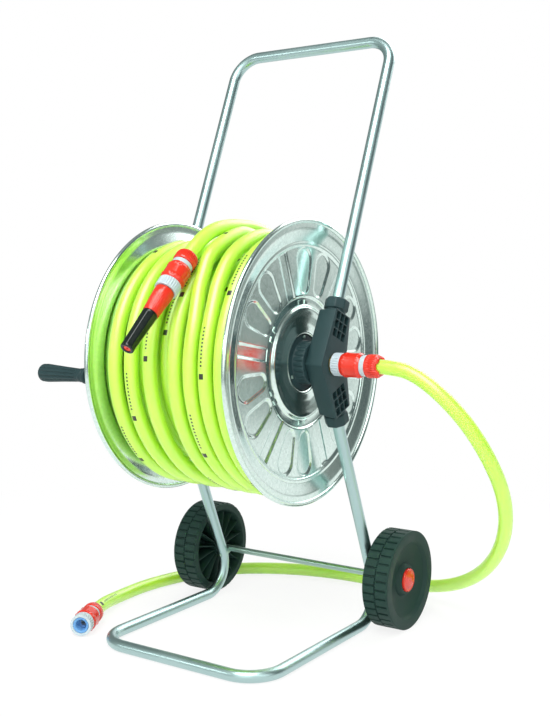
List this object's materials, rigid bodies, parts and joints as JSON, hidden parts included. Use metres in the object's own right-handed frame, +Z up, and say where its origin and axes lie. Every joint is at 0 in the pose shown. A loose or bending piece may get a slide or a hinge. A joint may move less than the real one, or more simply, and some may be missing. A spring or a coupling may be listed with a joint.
{
  "type": "hose reel trolley",
  "caption": "Wheeled garden hose reel: bent steel tube frame, galvanised drum with wound hose and crank, water inlet with quick connectors, spray nozzle and feed hose.",
  "frame": {"origin": "middle of the trolley's box on the floor, without the loose feed hose", "axes": "+Z up, +X along the drum axis towards the water inlet, -Y towards the front bar"},
  "size_m": [0.6488, 0.5868, 0.8914],
  "materials": {
    "galvanised_tube": "bright zinc plated steel tube",
    "galvanised_sheet": "pressed galvanised sheet with a fine spangle",
    "plated_steel": "zinc plated steel",
    "brass": "turned brass",
    "black_plastic": "moulded black plastic, satin",
    "wheel_plastic": "moulded black plastic, matte",
    "red_plastic": "moulded red plastic, glossy",
    "grey_plastic": "moulded light grey plastic",
    "blue_rubber": "moulded blue seal",
    "seal_rubber": "black seal rings",
    "hose_green": "yellow-green flexible hose, satin"
  },
  "bodies": {
    "frame": {"handle_tube": "galvanised_tube", "foot_tube": "galvanised_tube", "bracket_left": "black_plastic", "bracket_right": "black_plastic", "collar_upper_left": "black_plastic", "collar_lower_left": "black_plastic", "collar_upper_right": "black_plastic", "collar_lower_right": "black_plastic", "bearing_bush": "grey_plastic", "axle": "plated_steel", "axle_holder_left": "plated_steel", "axle_holder_right": "plated_steel", "holder_rivets": "plated_steel", "axle_clips": "plated_steel", "inlet_spindle": "brass", "spindle_seals": "seal_rubber", "inlet_core": "grey_plastic", "inlet_nut": "red_plastic", "feed_hose": "hose_green", "floor_core": "grey_plastic", "floor_nut": "red_plastic", "floor_insert": "blue_rubber"},
    "drum": {"disc_left": "galvanised_sheet", "disc_right": "galvanised_sheet", "drum_core": "galvanised_sheet", "hub_left": "black_plastic", "hub_right": "black_plastic", "hub_screws": "plated_steel", "cross_pin": "plated_steel", "water_elbow": "black_plastic", "hose_lead": "hose_green", "hose_clamp": "plated_steel", "crank_spindle": "plated_steel", "crank_arm": "plated_steel", "crank_nut": "plated_steel", "grip_pin": "plated_steel", "hose_core": "hose_green", "hose_outer_turns": "hose_green", "tail_core": "grey_plastic", "tail_nut": "red_plastic", "nozzle_body": "red_plastic"},
    "crank_grip": {"crank_grip": "black_plastic"},
    "wheel_left": {"wheel_left": "wheel_plastic", "wheel_cap_left": "red_plastic"},
    "wheel_right": {"wheel_right": "wheel_plastic", "wheel_cap_right": "red_plastic"},
    "nozzle_tip": {"nozzle_tip": "black_plastic"},
    "inlet_sleeve": {"inlet_ring": "grey_plastic", "inlet_sleeve": "red_plastic"},
    "tail_sleeve": {"tail_ring": "grey_plastic", "tail_sleeve": "red_plastic"},
    "floor_sleeve": {"floor_ring": "grey_plastic", "floor_sleeve": "red_plastic"}
  },
  "joints": [
    {"name": "drum_spin", "type": "hinge", "parent": "frame", "child": "drum", "pos_m": [0.0101, 0.01348, 0.41], "axis": [1, 0, 0], "continuous": true},
    {"name": "crank_grip_spin", "type": "hinge", "parent": "drum", "child": "crank_grip", "pos_m": [-0.2007, -0.13506, 0.38912], "axis": [1, 0, 0], "continuous": true},
    {"name": "wheel_left_spin", "type": "hinge", "parent": "frame", "child": "wheel_left", "pos_m": [-0.1669, 0.17045, 0.074], "axis": [1, 0, 0], "continuous": true},
    {"name": "wheel_right_spin", "type": "hinge", "parent": "frame", "child": "wheel_right", "pos_m": [0.1871, 0.17045, 0.074], "axis": [1, 0, 0], "continuous": true},
    {"name": "nozzle_twist", "type": "hinge", "parent": "drum", "child": "nozzle_tip", "pos_m": [0.01547, -0.21522, 0.46215], "axis": [-0.0087, -0.7253, -0.6883], "range_deg": [0, 180]},
    {"name": "inlet_sleeve_slide", "type": "slide", "parent": "frame", "child": "inlet_sleeve", "axis": [1, 0, 0], "range_m": [0, 0.004], "stiffness_N_per_m": 600, "springref_m": -0.003},
    {"name": "tail_sleeve_slide", "type": "slide", "parent": "drum", "child": "tail_sleeve", "axis": [0.0087, 0.7253, 0.6883], "range_m": [0, 0.004], "stiffness_N_per_m": 600, "springref_m": -0.003},
    {"name": "floor_sleeve_slide", "type": "slide", "parent": "frame", "child": "floor_sleeve", "axis": [-0.44, 0.898, 0], "range_m": [0, 0.004], "stiffness_N_per_m": 600, "springref_m": -0.003}
  ]
}
